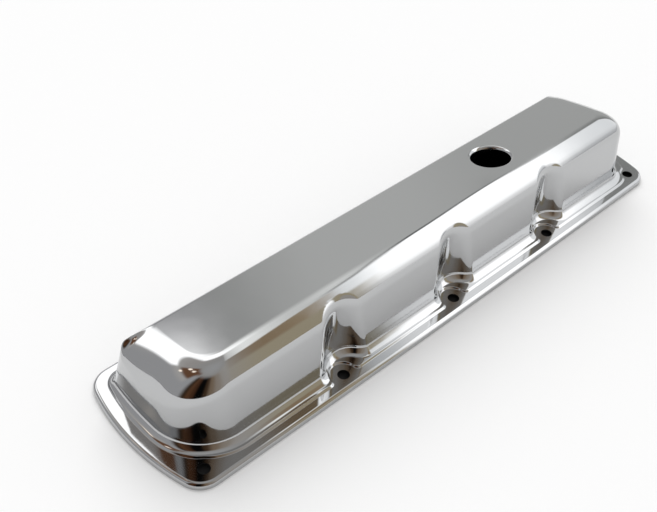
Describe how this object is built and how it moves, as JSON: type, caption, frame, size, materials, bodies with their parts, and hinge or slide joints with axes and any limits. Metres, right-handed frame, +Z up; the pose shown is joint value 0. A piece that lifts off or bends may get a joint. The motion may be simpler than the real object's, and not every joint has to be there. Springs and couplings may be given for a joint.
{
  "type": "engine valve cover",
  "caption": "Pressed sheet-steel valve cover for a V-type engine: long sloped dome with bolt notches, a filler hole with a drawn collar, and a flat bolted flange with a turned-down rim.",
  "frame": {"origin": "middle of the base, on the plane that the edge of the turned-down rim rests on", "axes": "+X along the cover, towards the end with the filler hole; +Y across it, towards the low side of the sloping top; +Z up, away from the cylinder head"},
  "size_m": [0.524, 0.128, 0.0654],
  "materials": {
    "chrome_plate": "bright polished chrome plate on pressed sheet steel"
  },
  "bodies": {
    "root": {"valve_cover": "chrome_plate"}
  },
  "joints": []
}
